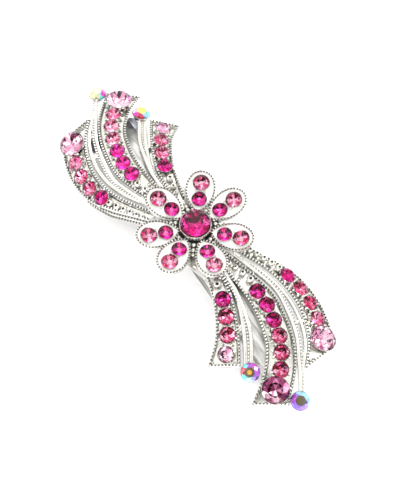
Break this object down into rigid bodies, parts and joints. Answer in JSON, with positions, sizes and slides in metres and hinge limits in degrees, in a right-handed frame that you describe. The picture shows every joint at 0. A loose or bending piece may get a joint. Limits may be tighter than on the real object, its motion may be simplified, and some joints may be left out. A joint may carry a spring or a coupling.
{
  "type": "hair barrette",
  "caption": "Hair barrette with an S-shaped ribbon-and-flower ornament set with pink and iridescent chatons, on a hinged French clip with a squeeze clasp.",
  "frame": {"origin": "under the middle of the clip, on the surface that it lies on, jewelled face up", "axes": "+X along the clip towards the hinge, +Z out of the jewelled face"},
  "size_m": [0.0932, 0.0308, 0.0176],
  "materials": {
    "rhodium": "bright rhodium-plated cast alloy, polished ribs and beaded edges",
    "spring_steel": "plated spring steel, lightly brushed",
    "light_rose": "foil-backed faceted glass, pale rose",
    "rose": "foil-backed faceted glass, rose pink",
    "fuchsia": "foil-backed faceted glass, fuchsia",
    "deep_fuchsia": "foil-backed faceted glass, deep fuchsia",
    "aurora": "faceted glass with an iridescent coating"
  },
  "bodies": {
    "root": {"ornament_casting": "rhodium", "flower_casting": "rhodium", "base_bar": "rhodium", "tension_bar": "spring_steel", "hinge_pin": "spring_steel", "clasp_plate": "spring_steel", "left_outer_band_stone_1": "light_rose", "left_outer_band_stone_2": "rose", "left_outer_band_stone_3": "rose", "left_outer_band_stone_4": "rose", "left_outer_band_stone_5": "fuchsia", "left_middle_band_stone_1": "light_rose", "left_middle_band_stone_2": "rose", "left_middle_band_stone_3": "rose", "left_middle_band_stone_4": "rose", "left_middle_band_stone_5": "fuchsia", "left_middle_band_stone_6": "fuchsia", "left_middle_band_stone_7": "fuchsia", "left_inner_band_stone_1": "light_rose", "left_inner_band_stone_2": "rose", "left_inner_band_stone_3": "rose", "left_inner_band_stone_4": "fuchsia", "left_outer_aurora_stone": "aurora", "left_inner_aurora_stone": "aurora", "right_outer_band_stone_1": "light_rose", "right_outer_band_stone_2": "rose", "right_outer_band_stone_3": "rose", "right_outer_band_stone_4": "rose", "right_outer_band_stone_5": "fuchsia", "right_middle_band_stone_1": "light_rose", "right_middle_band_stone_2": "rose", "right_middle_band_stone_3": "rose", "right_middle_band_stone_4": "rose", "right_middle_band_stone_5": "fuchsia", "right_middle_band_stone_6": "fuchsia", "right_middle_band_stone_7": "fuchsia", "right_inner_band_stone_1": "light_rose", "right_inner_band_stone_2": "rose", "right_inner_band_stone_3": "rose", "right_inner_band_stone_4": "fuchsia", "right_outer_aurora_stone": "aurora", "right_inner_aurora_stone": "aurora", "petal_1_inner_stone": "fuchsia", "petal_1_outer_stone": "rose", "petal_2_inner_stone": "fuchsia", "petal_2_outer_stone": "rose", "petal_3_inner_stone": "fuchsia", "petal_3_outer_stone": "rose", "petal_4_inner_stone": "fuchsia", "petal_4_outer_stone": "rose", "petal_5_inner_stone": "fuchsia", "petal_5_outer_stone": "rose", "petal_6_inner_stone": "fuchsia", "petal_6_outer_stone": "rose", "petal_7_inner_stone": "fuchsia", "petal_7_outer_stone": "rose", "centre_stone": "deep_fuchsia"},
    "lever": {"lever_arm": "rhodium"},
    "clasp_left": {"clasp_leg_left": "spring_steel"},
    "clasp_right": {"clasp_leg_right": "spring_steel"}
  },
  "joints": [
    {"name": "arm_hinge", "type": "hinge", "parent": "root", "child": "lever", "pos_m": [0.035, 0, 0.0015], "axis": [0, -1, 0], "range_deg": [0, 95]},
    {"name": "clasp_left_pinch", "type": "hinge", "parent": "root", "child": "clasp_left", "pos_m": [-0.035, 0.002, 0.00613], "axis": [-1, 0, 0], "range_deg": [0, 8], "stiffness_Nm_per_rad": 0.02},
    {"name": "clasp_right_pinch", "type": "hinge", "parent": "root", "child": "clasp_right", "pos_m": [-0.035, -0.002, 0.00613], "axis": [1, 0, 0], "range_deg": [0, 8], "stiffness_Nm_per_rad": 0.02}
  ]
}
